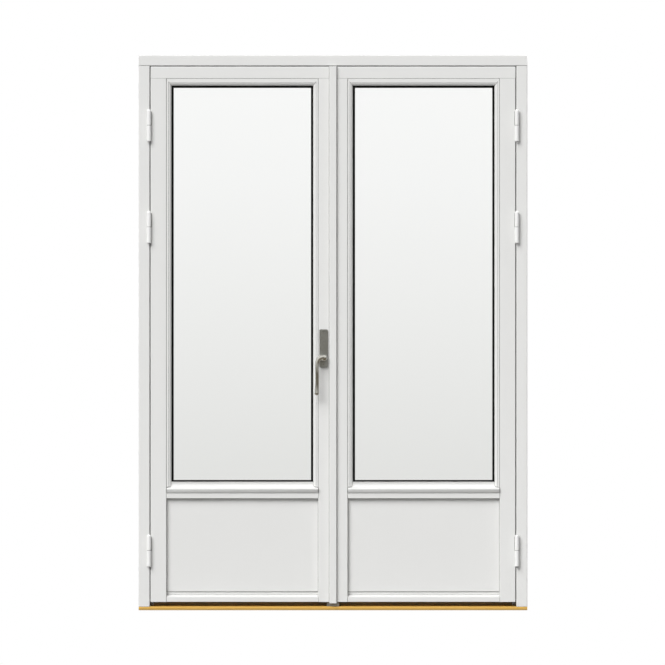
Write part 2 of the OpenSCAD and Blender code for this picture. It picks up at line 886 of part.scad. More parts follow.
// The bottom bead: a cove that runs out to a round nose, and an apron over the rail
module sill_section() {
  polygon(concat(
    [[bead_y1, mid_z1 + fit], [bead_y1, sill_bead_z1], [cove_y + cove_r, sill_bead_z1]],
    arc(cove_y, cove_z, cove_r, 0, -90),
    arc(cove_y, nose_z, nose_r, 90, 180),
    [[front - apron_t, mid_z1 - sill_apron], [front, mid_z1 - sill_apron], [front, mid_z1 + fit]]
  ));
}

// All the room under the top of the bottom bead, for the side beads to be scribed over it
module sill_scribe() {
  along_x(-rebate_out - 2 * bead_w, -rebate_in) polygon(concat(
    [[bead_y1 + past, mid_z1 - past], [bead_y1 + past, sill_bead_z1 + fit],
      [cove_y + cove_r, sill_bead_z1 + fit]],
    arc(cove_y, cove_z + fit, cove_r, 0, -90),
    [[nose_y - past, nose_z + nose_r + fit], [nose_y - past, mid_z1 - past]]
  ));
}

// Points along a circle's arc, from one angle to another
function arc(x, y, r, from, to, steps = 10) =
  [for (i = [0 : steps]) let (a = from + (to - from) * i / steps) [x + r * cos(a), y + r * sin(a)]];

module bottom_bead() {
  along_x(-rebate_out + fit, -rebate_in - fit) sill_section();
}

module left_outer_pane() { color(clear) pane(outer_pane_y0, outer_pane_y1); }
module left_inner_pane() { color(clear) pane(inner_pane_y0, inner_pane_y1); }
module left_spacer() { color(rubber) spacer(); }
module left_gaskets() { color(rubber) gaskets(); }
module left_hinge_bead() { color(paint) side_bead(); }
module left_meeting_bead() { color(paint) meeting() side_bead(); }
module left_top_bead() { color(paint) top_bead(); }
module left_bottom_bead() { color(paint) bottom_bead(); }
module right_outer_pane() { color(clear) right() pane(outer_pane_y0, outer_pane_y1); }
module right_inner_pane() { color(clear) right() pane(inner_pane_y0, inner_pane_y1); }
module right_spacer() { color(rubber) right() spacer(); }
module right_gaskets() { color(rubber) right() gaskets(); }
module right_hinge_bead() { color(paint) right() side_bead(); }
module right_meeting_bead() { color(paint) right() meeting() side_bead(); }
module right_top_bead() { color(paint) right() top_bead(); }
module right_bottom_bead() { color(paint) right() bottom_bead(); }

// ---- Meeting stiles' cover mouldings ----

module astragal() {
  color(paint) difference() {
    along_z(leaf_z0 - astragal_below, leaf_z1 + astragal_above)
      rounded(-astragal_w / 2, astragal_w / 2, front - astragal_t, front, moulding_r, moulding_r, 0, 0);
    block(-leaf_in, astragal_w / 2 + past, front - relief, front + past, 0, frame_h);
  }
}

module cover_strip() {
  color(paint) difference() {
    along_z(sill_stop_z + cover_short, head_z - stop_lap - cover_short)
      rounded(-cover_w / 2 + past, cover_w / 2 + past, leaf_back, leaf_back + cover_t,
        0, 0, moulding_r, moulding_r);
    block(-cover_w, leaf_in, leaf_back - past, leaf_back + relief, 0, frame_h);
  }
}

// ---- Handle ----

module plate() {
  difference() {
    along_y(front - plate_t, front)
      rounded(-spindle_x - plate_w / 2, -spindle_x + plate_w / 2, plate_z0, plate_z1,
        plate_r, plate_r, plate_r, plate_r);
    translate([-spindle_x, 0, spindle_z]) rotate([90, 0, 0]) cylinder(h = frame_depth, r = collar_r + fit);
    plate_screw_holes();
  }
}

// A screw through a plate from the front, with its shank into the leaf
module plate_screw(grow) {
  rotate([-90, 0, 0]) {
    translate([0, 0, 3 * head_sink]) cylinder(h = 3, r1 = plate_head_r + grow, r2 = plate_screw_r + grow);
    translate([0, 0, 3]) cylinder(h = plate_t + plate_screw_l - 3 + grow, r = plate_screw_r + grow);
    if (grow > 0) translate([0, 0, -past]) cylinder(h = past + 3 * head_sink + 0.01, r = plate_head_r + grow);
  }
}

module front_plate_screws(grow) {
  for (z = plate_screw_z) translate([-spindle_x, front - plate_t, z]) plate_screw(grow);
}

// What is drawn on the outdoor face, turned to the indoor face
module indoors() {
  translate([0, 2 * mid_y, 0]) mirror([0, 1, 0]) children();
}

module plate_screw_holes() {
  front_plate_screws(screw_fit);
  indoors() front_plate_screws(screw_fit);
}

module lever() {
  grip_y = front - grip_out;
  grip_x = -spindle_x - grip_side;
  elbow_z = spindle_z - elbow_drop;
  end_r = grip_end_d / 2;
  end_z = spindle_z - grip_drop + end_r;
  flare_z = end_z + grip_flare;
  difference() {
    union() {
      translate([-spindle_x, front - slide_fit, spindle_z]) rotate([90, 0, 0])
        cylinder(h = plate_t + 2, r = collar_r);
      translate([-spindle_x, front - plate_t - fit, spindle_z]) rotate([90, 0, 0])
        cylinder(h = grip_out - plate_t - dome_in, r = hub_r);
      translate([-spindle_x, grip_y + dome_in, spindle_z]) sphere(hub_r - 0.6);
      bar([-spindle_x, grip_y + dome_in / 2, spindle_z], [grip_x, grip_y, elbow_z], neck_r, elbow_r - 0.1);
      translate([grip_x, grip_y, elbow_z]) sphere(elbow_r);
      bar([grip_x, grip_y, flare_z], [grip_x, grip_y, elbow_z], grip_d / 2, elbow_r - 0.1);
      bar([grip_x, grip_y, end_z], [grip_x, grip_y, flare_z + 0.01], end_r - 0.3, grip_d / 2);
      translate([grip_x, grip_y, end_z]) sphere(end_r);
    }
    spindle_hole(front - plate_t - spindle_grip - past, front + past);
  }
}

module spindle_hole(y0, y1) {
  s = spindle_s / 2 + 0.1;
  block(-spindle_x - s, -spindle_x + s, y0, y1, spindle_z - s, spindle_z + s);
}

module outer_plate() { color(steel) plate(); }
module inner_plate() { color(steel) indoors() plate(); }
module outer_lever() { color(steel) lever(); }
module inner_lever() { color(steel) indoors() lever(); }

module plate_screws() {
  color(steel) {
    front_plate_screws(0);
    indoors() front_plate_screws(0);
  }
}

module spindle() {
  s = spindle_s / 2;
  reach = plate_t + spindle_grip;
  color(steel)
    block(-spindle_x - s, -spindle_x + s, front - reach, leaf_back + reach, spindle_z - s, spindle_z + s);
}

// ---- Lock ----

// One straight-sided tooth, drawn along +X from its pitch line
module tooth() {
  polygon([
    [-tooth_root, -tooth_half - tooth_lean], [0, -tooth_half], [addendum, -tooth_half + tooth_lean],
    [addendum, tooth_half - tooth_lean], [0, tooth_half], [-tooth_root, tooth_half + tooth_lean]
  ]);
}

module pinion() {
  color(brass) difference() {
    union() {
      along_y(mid_y - rod_w / 2, mid_y + rod_w / 2) translate([-spindle_x, spindle_z]) {
        circle(pitch_r - dedendum);
        for (i = [0 : pinion_teeth - 1]) rotate(i * 360 / pinion_teeth) translate([pitch_r, 0]) tooth();
      }
      translate([-spindle_x, mid_y, spindle_z]) rotate([90, 0, 0])
        cylinder(h = case_t, r = hub_bearing, center = true);
    }
    spindle_hole(mid_y - case_t, mid_y + case_t);
  }
}

// A toothed bar drawn with its teeth towards -X, its pitch line at x = 0 and a tooth space at z = 0
module rack(from, to) {
  translate([dedendum, from * tooth_pitch]) square([rack_back, (to - from) * tooth_pitch]);
  for (i = [from : to - 1]) translate([0, (i + 0.5) * tooth_pitch]) mirror([1, 0]) tooth();
}

module lock_case() {
  color(brass) difference() {
    block(case_x0, case_x1, mid_y - case_t / 2, mid_y + case_t / 2, case_z0, case_z1);
    block(case_x0 + case_wall, case_x1 + past, mid_y - case_t / 2 + case_wall, mid_y + case_t / 2 - case_wall,
      case_z0 + case_wall, case_z1 - case_wall);
    translate([-spindle_x, mid_y, spindle_z]) rotate([90, 0, 0])
      cylinder(h = case_t + 2 * past, r = hub_bearing + fit, center = true);
  }
}

module faceplate() {
  color(steel) along_x(channel_x, edge_x)
    rounded(mid_y - case_t / 2, mid_y + case_t / 2, faceplate_z0, faceplate_z1,
      faceplate_r, faceplate_r, faceplate_r, faceplate_r);
}

// The rods lie in the channel of the edge. Each ends in a round tip, which is out in its keep at rest
module rod_bar(z0, z1) {
  block(-bolt_x - rod_t / 2, -bolt_x + rod_t / 2, mid_y - rod_w / 2, mid_y + rod_w / 2, z0, z1);
}

module upper_rod() {
  y0 = mid_y - rod_w / 2;
  color(steel) {
    rod_bar(spindle_z - 2 * tooth_pitch, leaf_z1 - tip_l);
    translate([-bolt_x, mid_y, leaf_z1 - tip_l - past])
      cylinder(h = tip_l + past + rod_travel - fit, r = bolt_r);
    along_y(y0, y0 + rack_t) translate([-spindle_x + pitch_r, spindle_z]) rack(-2, 5);
    block(-spindle_x + pitch_r + dedendum, -bolt_x - rod_t / 2 + past, y0, y0 + rack_t,
      spindle_z - 2 * tooth_pitch, spindle_z + 5 * tooth_pitch);
  }
}

module lower_rod() {
  y1 = mid_y + rod_w / 2;
  color(steel) {
    rod_bar(leaf_z0 + tip_l, bridge_z1);
    translate([-bolt_x, mid_y, leaf_z0 - rod_travel + fit])
      cylinder(h = tip_l + past + rod_travel - fit, r = bolt_r);
    along_y(y1 - rack_t, y1) translate([-spindle_x - pitch_r, spindle_z]) mirror([1, 0]) rack(-5, 2);
    block(-spindle_x - pitch_r - dedendum - rack_back, -bolt_x, y1 - rack_t, y1,
      bridge_z1 - bridge_h, bridge_z1);
    block(-spindle_x - pitch_r - dedendum - rack_back, -spindle_x - pitch_r - dedendum, y1 - rack_t, y1,
      bridge_z1 - bridge_h, spindle_z - 4 * tooth_pitch);
  }
}

// ---- Flush bolts of the passive leaf ----

module flush_bolt_plates() {
  color(steel) for (end = [0, 1]) flush_end(end) difference() {
    along_x(leaf_in, leaf_in + faceplate_t)
      rounded(mid_y - case_t / 2, mid_y + case_t / 2, flush_plate_in, flush_plate_in + flush_plate_h,
        faceplate_r, faceplate_r, faceplate_r, faceplate_r);
    block(leaf_in - past, leaf_in + faceplate_t + past,
      mid_y - flush_knob_w / 2 - fit, mid_y + flush_knob_w / 2 + fit, flush_slot[0], flush_slot[1]);
  }
}

module flush_bolt() {
  translate([bolt_x, mid_y, -flush_travel]) cylinder(h = flush_rod_l - flush_travel / 2, r = bolt_r);
  block(leaf_in + slide_fit, bolt_x, mid_y - flush_knob_w / 2, mid_y + flush_knob_w / 2,
    flush_knob_in, flush_knob_in + flush_knob_h);
}

module upper_flush_bolt() { color(steel) flush_end(1) flush_bolt(); }
module lower_flush_bolt() { color(steel) flush_end(0) flush_bolt(); }

head();
left_jamb();
right_jamb();
threshold();
frame_seal();
frame_screws();
head_keep();
sill_keep();
left_hinge_frame_halves();
right_hinge_frame_halves();
hinge_pins();
hinge_screws_frame();
left_hinge_stile();
left_meeting_stile();
left_top_rail();
left_mid_rail();
left_bottom_rail();
left_panel();
left_outer_pane();
left_inner_pane();
left_spacer();
left_gaskets();
left_hinge_bead();
left_meeting_bead();
left_top_bead();
left_bottom_bead();
left_hinge_leaf_halves();
left_hinge_screws();
right_hinge_stile();
right_meeting_stile();
right_top_rail();
right_mid_rail();
right_bottom_rail();
right_panel();
right_outer_pane();
right_inner_pane();
right_spacer();
right_gaskets();
right_hinge_bead();
right_meeting_bead();
right_top_bead();
right_bottom_bead();
right_hinge_leaf_halves();
right_hinge_screws();
astragal();
cover_strip();
outer_plate();
inner_plate();
plate_screws();
outer_lever();
inner_lever();
spindle();
pinion();
lock_case();
faceplate();
upper_rod();
lower_rod();
flush_bolt_plates();
upper_flush_bolt();
lower_flush_bolt();
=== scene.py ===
"""Looks for a pair of glazed timber balcony doors with their frame.

Metres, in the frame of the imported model: X along the doorway, Y from outdoors (-) to indoors (+), Z up.
The timbers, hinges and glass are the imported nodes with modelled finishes. The levers, the bottom glazing
beads and every screw are new pieces, each a surface worked out on a grid of two parameters.
"""

import json
import math

import bpy
import numpy as np
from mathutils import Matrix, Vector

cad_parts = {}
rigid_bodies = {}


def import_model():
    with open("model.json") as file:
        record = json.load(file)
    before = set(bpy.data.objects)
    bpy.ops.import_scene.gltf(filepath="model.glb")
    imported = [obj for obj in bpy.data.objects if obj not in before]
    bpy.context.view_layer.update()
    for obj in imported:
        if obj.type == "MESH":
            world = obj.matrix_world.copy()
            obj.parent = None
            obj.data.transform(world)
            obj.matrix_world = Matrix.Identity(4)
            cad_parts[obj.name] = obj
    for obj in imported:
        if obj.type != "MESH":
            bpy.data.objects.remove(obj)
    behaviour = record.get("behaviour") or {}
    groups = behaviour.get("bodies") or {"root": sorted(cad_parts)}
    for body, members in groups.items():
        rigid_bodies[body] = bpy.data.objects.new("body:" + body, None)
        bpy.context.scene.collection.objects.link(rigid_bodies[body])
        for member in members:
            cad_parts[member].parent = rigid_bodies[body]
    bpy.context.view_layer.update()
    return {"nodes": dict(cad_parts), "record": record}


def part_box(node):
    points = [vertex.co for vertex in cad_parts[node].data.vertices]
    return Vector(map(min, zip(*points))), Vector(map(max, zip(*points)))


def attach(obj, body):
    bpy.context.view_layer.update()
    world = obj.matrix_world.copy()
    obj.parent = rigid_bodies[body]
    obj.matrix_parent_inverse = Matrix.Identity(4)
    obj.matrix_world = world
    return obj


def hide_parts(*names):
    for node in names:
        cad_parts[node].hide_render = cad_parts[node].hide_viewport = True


for leftover in list(bpy.data.objects):
    bpy.data.objects.remove(leftover)

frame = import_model()
nodes = frame["nodes"]
MM = 0.001

# ---------------------------------------------------------------- node trees


def place(tree, kind, **values):
    """A node of that kind, with its properties and its inputs set by name."""
    node = tree.nodes.new(kind)
    for name, value in values.items():
        if hasattr(node, name):
            setattr(node, name, value)
        else:
            node.inputs[name.replace("_", " ")].default_value = value
    return node


def link(tree, source, target):
    tree.links.new(source, target)


def math_node(tree, operation, a, b=None, clamp=False):
    """One arithmetic step. Each operand is a socket or a number."""
    node = tree.nodes.new("ShaderNodeMath")
    node.operation = operation
    node.use_clamp = clamp
    for i, operand in enumerate((a, b)):
        if operand is None:
            continue
        if isinstance(operand, (int, float)):
            node.inputs[i].default_value = operand
        else:
            link(tree, operand, node.inputs[i])
    return node.outputs[0]


def varied(tree, start, socket, amount):
    """A number plus an amount of a value that changes over the surface."""
    return math_node(tree, "ADD", start, math_node(tree, "MULTIPLY", socket, amount))


def peaks(tree, value, level, gain):
    """What a value has above a level, times a gain, kept between 0 and 1."""
    return math_node(tree, "MULTIPLY", math_node(tree, "SUBTRACT", value, level, True), gain, True)


def ramp(tree, factor, stops):
    """A colour ramp through (place, grey or colour) stops."""
    node = tree.nodes.new("ShaderNodeValToRGB")
    elements = node.color_ramp.elements
    while len(elements) < len(stops):
        elements.new(0.5)
    for element, (where, colour) in zip(elements, stops):
        element.position = where
        grey = isinstance(colour, (int, float))
        element.color = (colour, colour, colour, 1) if grey else (*colour, 1)
    link(tree, factor, node.inputs[0])
    return node.outputs[0]


def mix(tree, factor, a, b):
    """A colour between two, by a factor's socket. Each colour is a socket or three numbers."""
    node = tree.nodes.new("ShaderNodeMix")
    node.data_type = "RGBA"
    link(tree, factor, node.inputs[0])
    for socket, colour in ((node.inputs[6], a), (node.inputs[7], b)):
        if isinstance(colour, tuple):
            socket.default_value = (*colour, 1)
        else:
            link(tree, colour, socket)
    return node.outputs[2]


def new_group(name, inputs, outputs):
    """An empty shader group with float or vector sockets, and its two end nodes."""
    tree = bpy.data.node_groups.new(name, "ShaderNodeTree")
    for label, default in inputs:
        kind = "NodeSocketVector" if default is None else "NodeSocketFloat"
        socket = tree.interface.new_socket(label, in_out="INPUT", socket_type=kind)
        if default is not None:
            socket.default_value = default
    for label in outputs:
        tree.interface.new_socket(label, in_out="OUTPUT", socket_type="NodeSocketFloat")
    return tree, tree.nodes.new("NodeGroupInput"), tree.nodes.new("NodeGroupOutput")


def noise(tree, vector, scale=1.0, detail=3.0, roughness=0.55, stretch=None):
    """Fractal noise, which stretch squeezes along each axis in turn."""
    if stretch:
        squeeze = place(tree, "ShaderNodeMapping", Scale=stretch)
        link(tree, vector, squeeze.inputs[0])
        vector = squeeze.outputs[0]
    node = place(tree, "ShaderNodeTexNoise", Scale=scale, Detail=detail, Roughness=roughness)
    link(tree, vector, node.inputs["Vector"])
    return node.outputs["Fac"]


def brushed_paint_group():
    """Paint laid off along Z: fine brush lines, the soft grain under them and a faint orange peel."""
    tree, given, out = new_group("brushed paint", [("Vector", None), ("Grain", 0.5)], ["Tone", "Height"])
    vector = given.outputs["Vector"]
    lines = noise(tree, vector, detail=4.0, roughness=0.6, stretch=(1100, 1100, 9))
    grain = noise(tree, vector, roughness=0.5, stretch=(260, 260, 3.2))
    peel = noise(tree, vector, scale=900, detail=2.0, roughness=0.5)
    cloud = noise(tree, vector, scale=6, roughness=0.5)
    soft_grain = math_node(tree, "MULTIPLY", grain, given.outputs["Grain"])
    height = math_node(tree, "ADD", math_node(tree, "MULTIPLY", lines, 0.35), soft_grain)
    height = math_node(tree, "ADD", height, math_node(tree, "MULTIPLY", peel, 0.25))
    tone = math_node(tree, "MULTIPLY", cloud, 0.6)
    tone = math_node(tree, "ADD", tone, math_node(tree, "MULTIPLY", grain, 0.4))
    link(tree, tone, out.inputs["Tone"])
    link(tree, height, out.inputs["Height"])
    return tree


def oak_group():
    """Plain-sawn oak with its length along X: wandering year rings, short dark pores and pale rays."""
    tree, given, out = new_group("oak", [("Vector", None)], ["Rings", "Pores", "Rays", "Height"])
    vector = given.outputs["Vector"]
    rings_y, rings_z = 95.0, 210.0  # rings to the metre
    wander = noise(tree, vector, roughness=0.5, stretch=(1.1, 9, 9))
    drift = math_node(tree, "MULTIPLY", wander, 9.0)
    parts = place(tree, "ShaderNodeSeparateXYZ")
    link(tree, vector, parts.inputs[0])
    across = math_node(tree, "MULTIPLY", parts.outputs["Y"], rings_y)
    up = math_node(tree, "MULTIPLY", parts.outputs["Z"], rings_z)
    phase = math_node(tree, "ADD", math_node(tree, "ADD", across, up), drift)
    rings = math_node(tree, "FRACT", phase)
    rings = math_node(tree, "POWER", rings, 2.2)
    pores = noise(tree, vector, detail=2.0, roughness=0.6, stretch=(42, 1500, 1500))
    pores = peaks(tree, pores, 0.58, 4.0)
    pores = math_node(tree, "MULTIPLY", pores, math_node(tree, "ADD", rings, 0.25), True)
    rays = noise(tree, vector, detail=2.0, roughness=0.5, stretch=(18, 260, 520))
    rays = peaks(tree, rays, 0.6, 3.5)
    height = math_node(tree, "SUBTRACT", math_node(tree, "MULTIPLY", rings, 0.25), pores)
    for label, value in (("Rings", rings), ("Pores", pores), ("Rays", rays), ("Height", height)):
        link(tree, value, out.inputs[label])
    return tree


# The finishes use this mask to paint a highlight along convex edges.
def edge_group():
    """How near a convex edge is: the angle between the true normal and one blurred over a small radius."""
    tree, given, out = new_group("edge highlight", [("Radius", 0.001), ("Reach", 4.0)], ["Edge"])
    blurred = tree.nodes.new("ShaderNodeBevel")
    blurred.samples = 4
    link(tree, given.outputs["Radius"], blurred.inputs["Radius"])
    surface = tree.nodes.new("ShaderNodeNewGeometry")
    dot = place(tree, "ShaderNodeVectorMath", operation="DOT_PRODUCT")
    link(tree, blurred.outputs[0], dot.inputs[0])
    link(tree, surface.outputs["Normal"], dot.inputs[1])
    turned = math_node(tree, "SUBTRACT", 1.0, dot.outputs["Value"])
    link(tree, math_node(tree, "MULTIPLY", turned, given.outputs["Reach"], True), out.inputs["Edge"])
    return tree


def joint_group():
    """How closed in a point is: 0 in the open, 1 deep in a joint or an inner corner."""
    tree, given, out = new_group("joint shade", [("Reach", 0.004)], ["Shade"])
    closed = tree.nodes.new("ShaderNodeAmbientOcclusion")
    closed.samples = 6
    link(tree, given.outputs["Reach"], closed.inputs["Distance"])
    shade = math_node(tree, "SUBTRACT", 1.0, closed.outputs["AO"], True)
    link(tree, math_node(tree, "MULTIPLY", shade, 2.2, True), out.inputs["Shade"])
    return tree


def metal_group():
    """Drawn and handled metal: fine lines along Z, soft blotches and scattered pits."""
    given_sockets = [("Vector", None), ("Lines", 1.0)]
    tree, given, out = new_group("worked metal", given_sockets, ["Blotch", "Line", "Height"])
    vector = given.outputs["Vector"]
    lines = noise(tree, vector, roughness=0.6, stretch=(2600, 2600, 90))
    blotch = noise(tree, vector, scale=90, detail=5.0, roughness=0.6)
    pits = noise(tree, vector, scale=1400, detail=2.0, roughness=0.5)
    pits = peaks(tree, pits, 0.62, 3.0)
    height = math_node(tree, "SUBTRACT", math_node(tree, "MULTIPLY", lines, given.outputs["Lines"]), pits)
    for label, value in (("Blotch", blotch), ("Line", lines), ("Height", height)):
        link(tree, value, out.inputs[label])
    return tree


GROUPS = {
    "paint": brushed_paint_group(),
    "oak": oak_group(),
    "edge": edge_group(),
    "joint": joint_group(),
    "metal": metal_group(),
}

# ---------------------------------------------------------------- materials


class Finish:
    """A material being built: its tree, its principled shader and its object coordinates."""

    def __init__(self, name):
        self.material = bpy.data.materials.new(name)
        self.material.use_nodes = True
        self.tree = self.material.node_tree
        self.shader = self.tree.nodes["Principled BSDF"]
        self.coords = self.tree.nodes.new("ShaderNodeTexCoord").outputs["Object"]

    def turned(self, rotation):
        """The object's coordinates, turned so that a pattern along Z comes to lie another way."""
        node = place(self.tree, "ShaderNodeMapping", Rotation=rotation)
        link(self.tree, self.coords, node.inputs[0])
        return node.outputs[0]

    def group(self, name, vector=None, **values):
        """The outputs of one of the shared effects, with this material's own values."""
        node = self.tree.nodes.new("ShaderNodeGroup")
        node.node_tree = GROUPS[name]
        if vector is not None:
            link(self.tree, vector, node.inputs["Vector"])
        for label, value in values.items():
            node.inputs[label].default_value = value
        return node.outputs

    def feed(self, label, source):
        link(self.tree, source, self.shader.inputs[label])

    def constant(self, **values):
        """Plain values on the shader's own sockets."""
        for label, value in values.items():
            self.shader.inputs[label.replace("_", " ")].default_value = value

    def bump(self, height, distance, strength):
        node = place(self.tree, "ShaderNodeBump", Distance=distance, Strength=strength)
        link(self.tree, height, node.inputs["Height"])
        self.feed("Normal", node.outputs[0])


QUARTER = math.pi / 2
# How a pattern with its lines along Z is turned
UPRIGHT = (0, 0, 0)
ALONG_X = (0, QUARTER, 0)


def paint_finish(name, rotation):
    """Satin white paint brushed along the timber, with a painted highlight on the arrises and painted shade
    inside the joints and inner corners.
    """
    made = Finish(name)
    tree = made.tree
    film = made.group("paint", made.turned(rotation), Grain=0.55)
    edge = made.group("edge", Radius=0.0012, Reach=1.6)["Edge"]
    joint = made.group("joint", Reach=0.0028)["Shade"]
    # The arris colour is a painted highlight near convex edges; the grey is painted shade deep in joints and
    # inner corners.
    thick_white, thin_white = (0.792, 0.792, 0.776), (0.818, 0.818, 0.804)
    arris_highlight_white, painted_shade_grey = (0.87, 0.87, 0.858), (0.16, 0.16, 0.15)
    body = mix(tree, edge, mix(tree, film["Tone"], thick_white, thin_white), arris_highlight_white)
    made.feed("Base Color", mix(tree, joint, body, painted_shade_grey))
    made.feed("Roughness", varied(tree, 0.36, film["Height"], 0.1))
    made.constant(Coat_Weight=0.12, Coat_Roughness=0.22, IOR=1.5)
    made.bump(film["Height"], 0.00014, 0.8)
    return made.material


def oak_finish():
    """Oak under clear lacquer: honey yellow between the rings, darker in them, with brown pores, pale rays, a
    painted highlight on the edges, and painted shade where the leaves stand close above it and by the jambs
    and floor."""
    made = Finish("lacquered_oak")
    tree = made.tree
    wood = made.group("oak", made.coords)
    edge = made.group("edge", Radius=0.0014, Reach=1.8)["Edge"]
    joint = made.group("joint", Reach=0.01)["Shade"]
    honey, ring_brown = (0.86, 0.525, 0.115), (0.60, 0.325, 0.066)
    body = mix(tree, wood["Rings"], honey, ring_brown)
    # The edge colour is a painted highlight; the near-black is painted shade close under the leaves and by
    # the jambs and floor.
    for mask, strength, colour in (
            (wood["Rays"], 0.5, (0.90, 0.60, 0.19)), (wood["Pores"], 0.8, (0.25, 0.12, 0.035)),
            (edge, 0.5, (0.92, 0.63, 0.21)), (joint, 0.6, (0.085, 0.075, 0.055))):
        body = mix(tree, math_node(tree, "MULTIPLY", mask, strength), body, colour)
    made.feed("Base Color", body)
    made.feed("Roughness", varied(tree, 0.38, wood["Pores"], 0.25))
    made.constant(Coat_Weight=0.45, Coat_Roughness=0.2, IOR=1.5)
    made.bump(wood["Height"], 0.00012, 0.6)
    return made.material


def metal_finish(name, dark, light, rough, lines=1.0, edge_highlight_colour=None, depth=0.00004):
    """Bare or plated metal: two tones by blotch, roughness by line, and a painted highlight that brightens
    the edges.
    """
    made = Finish(name)
    tree = made.tree
    worked = made.group("metal", made.coords, Lines=lines)
    edge = made.group("edge", Radius=0.0008, Reach=3.0)["Edge"]
    blotch = ramp(tree, worked["Blotch"], [(0.36, 0.0), (0.64, 1.0)])
    body = mix(tree, blotch, dark, light)
    # The edge colour is a painted highlight near convex edges.
    made.feed("Base Color", mix(tree, edge, body, edge_highlight_colour or light))
    spread = math_node(tree, "MULTIPLY", math_node(tree, "SUBTRACT", worked["Line"], 0.5), 0.25)
    spread = math_node(tree, "ADD", spread, math_node(tree, "MULTIPLY", worked["Blotch"], 0.16))
    made.feed("Roughness", math_node(tree, "ADD", rough, spread))
    made.constant(Metallic=1.0)
    made.bump(worked["Height"], depth, 0.6)
    return made.material


def coated_steel_finish():
    """Powder-coated white steel: a glossier, whiter film than the paint, with a fine peel, a painted
    highlight on its edges and painted shade in its joints and the hinges' partings.
    """
    made = Finish("white_coated_steel")
    tree = made.tree
    film = made.group("paint", made.coords, Grain=0.1)
    edge = made.group("edge", Radius=0.0009, Reach=2.0)["Edge"]
    joint = made.group("joint", Reach=0.003)["Shade"]
    # The edge colour is a painted highlight near convex edges; the grey is painted shade deep in joints and
    # partings.
    thick_coat, thin_coat = (0.89, 0.89, 0.875), (0.92, 0.92, 0.91)
    edge_highlight_coat, painted_shade_grey = (0.94, 0.94, 0.93), (0.24, 0.24, 0.22)
    body = mix(tree, edge, mix(tree, film["Tone"], thick_coat, thin_coat), edge_highlight_coat)
    made.feed("Base Color", mix(tree, joint, body, painted_shade_grey))
    made.feed("Roughness", varied(tree, 0.24, film["Height"], 0.1))
    made.constant(Coat_Weight=0.3, Coat_Roughness=0.3, IOR=1.5)
    made.bump(film["Height"], 0.00004, 0.5)
    return made.material


def rubber_finish(name, colour, rough):
    """Black rubber: dull, with faint upright die lines and a paler bloom in patches."""
    made = Finish(name)
    tree = made.tree
    film = made.group("paint", made.coords, Grain=0.3)
    bloom = tuple(c * 1.6 + 0.001 for c in colour)
    made.feed("Base Color", mix(tree, film["Tone"], colour, bloom))
    made.feed("Roughness", varied(tree, rough, film["Tone"], 0.12))
    made.constant(IOR=1.45, Specular_IOR_Level=0.12)
    made.bump(film["Height"], 0.00006, 0.6)
    return made.material


def spacer_finish():
    """Warm-edge spacer: dark plastic pricked with straight rows of fine breathing holes."""
    made = Finish("spacer_plastic")
    tree = made.tree
    cells = place(tree, "ShaderNodeTexVoronoi", Scale=420.0, Randomness=0.0)
    link(tree, made.coords, cells.inputs["Vector"])
    holes = ramp(tree, cells.outputs["Distance"], [(0.12, 0.0), (0.2, 1.0)])
    tone = noise(tree, made.coords, scale=90)
    body = mix(tree, tone, (0.018, 0.018, 0.019), (0.03, 0.03, 0.031))
    made.feed("Base Color", mix(tree, holes, (0.004, 0.004, 0.004), body))
    made.feed("Roughness", varied(tree, 0.45, tone, 0.15))
    made.bump(holes, 0.0002, 0.5)
    return made.material


def glass_finish():
    """Clear float glass with the faintest roll. It lets light through to what is behind it."""
    made = Finish("float_glass")
    tree = made.tree
    made.constant(Base_Color=(0.982, 0.986, 0.982, 1), Roughness=0.0, IOR=1.5, Transmission_Weight=1.0)
    roll = noise(tree, made.coords, detail=2.0, roughness=0.4, stretch=(2.5, 2.5, 1.4))
    made.bump(roll, 0.0004, 0.02)
    clear = tree.nodes.new("ShaderNodeBsdfTransparent")
    clear.inputs[0].default_value = (0.93, 0.95, 0.94, 1)
    path = tree.nodes.new("ShaderNodeLightPath")
    either = math_node(tree, "MAXIMUM", path.outputs["Is Shadow Ray"], path.outputs["Is Diffuse Ray"])
    both = tree.nodes.new("ShaderNodeMixShader")
    link(tree, either, both.inputs[0])
    link(tree, made.shader.outputs[0], both.inputs[1])
    link(tree, clear.outputs[0], both.inputs[2])
    link(tree, both.outputs[0], tree.nodes["Material Output"].inputs["Surface"])
    return made.material


MATERIALS = {
    "paint_upright": paint_finish("paint_upright", UPRIGHT),
    "paint_across": paint_finish("paint_across", ALONG_X),
    "oak": oak_finish(),
    "glass": glass_finish(),
    "rubber": rubber_finish("black_rubber", (0.004, 0.004, 0.004), 0.6),
    "spacer": spacer_finish(),
    "painted_steel": coated_steel_finish(),
    "satin_steel": metal_finish("satin_nickel", (0.43, 0.445, 0.435), (0.50, 0.515, 0.505), 0.32,
                                edge_highlight_colour=(0.62, 0.62, 0.60)),
    "cast_steel": metal_finish("polished_nickel", (0.54, 0.53, 0.49), (0.61, 0.60, 0.56), 0.12, lines=0.3,
                               edge_highlight_colour=(0.86, 0.85, 0.81), depth=0.00002),
    "zinc": metal_finish("bright_zinc", (0.44, 0.45, 0.46), (0.62, 0.63, 0.64), 0.3),
    "lock_brass": metal_finish("lock_brass", (0.52, 0.37, 0.15), (0.66, 0.50, 0.24), 0.3),
}

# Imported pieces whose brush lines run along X
LAID_ACROSS = ("head", "threshold", "rail", "top_bead", "bottom_bead", "keep")
slot_of = {row["node"]: row["material_slot"] for row in frame["record"]["subparts"]}
for name, node in nodes.items():
    slot = slot_of[name]
    key = slot
    if slot == "paint":
        key = "paint_across" if any(word in name for word in LAID_ACROSS) else "paint_upright"
    for i in range(len(node.data.materials)):
        node.data.materials[i] = MATERIALS[key]

# ---------------------------------------------------------------- surfaces


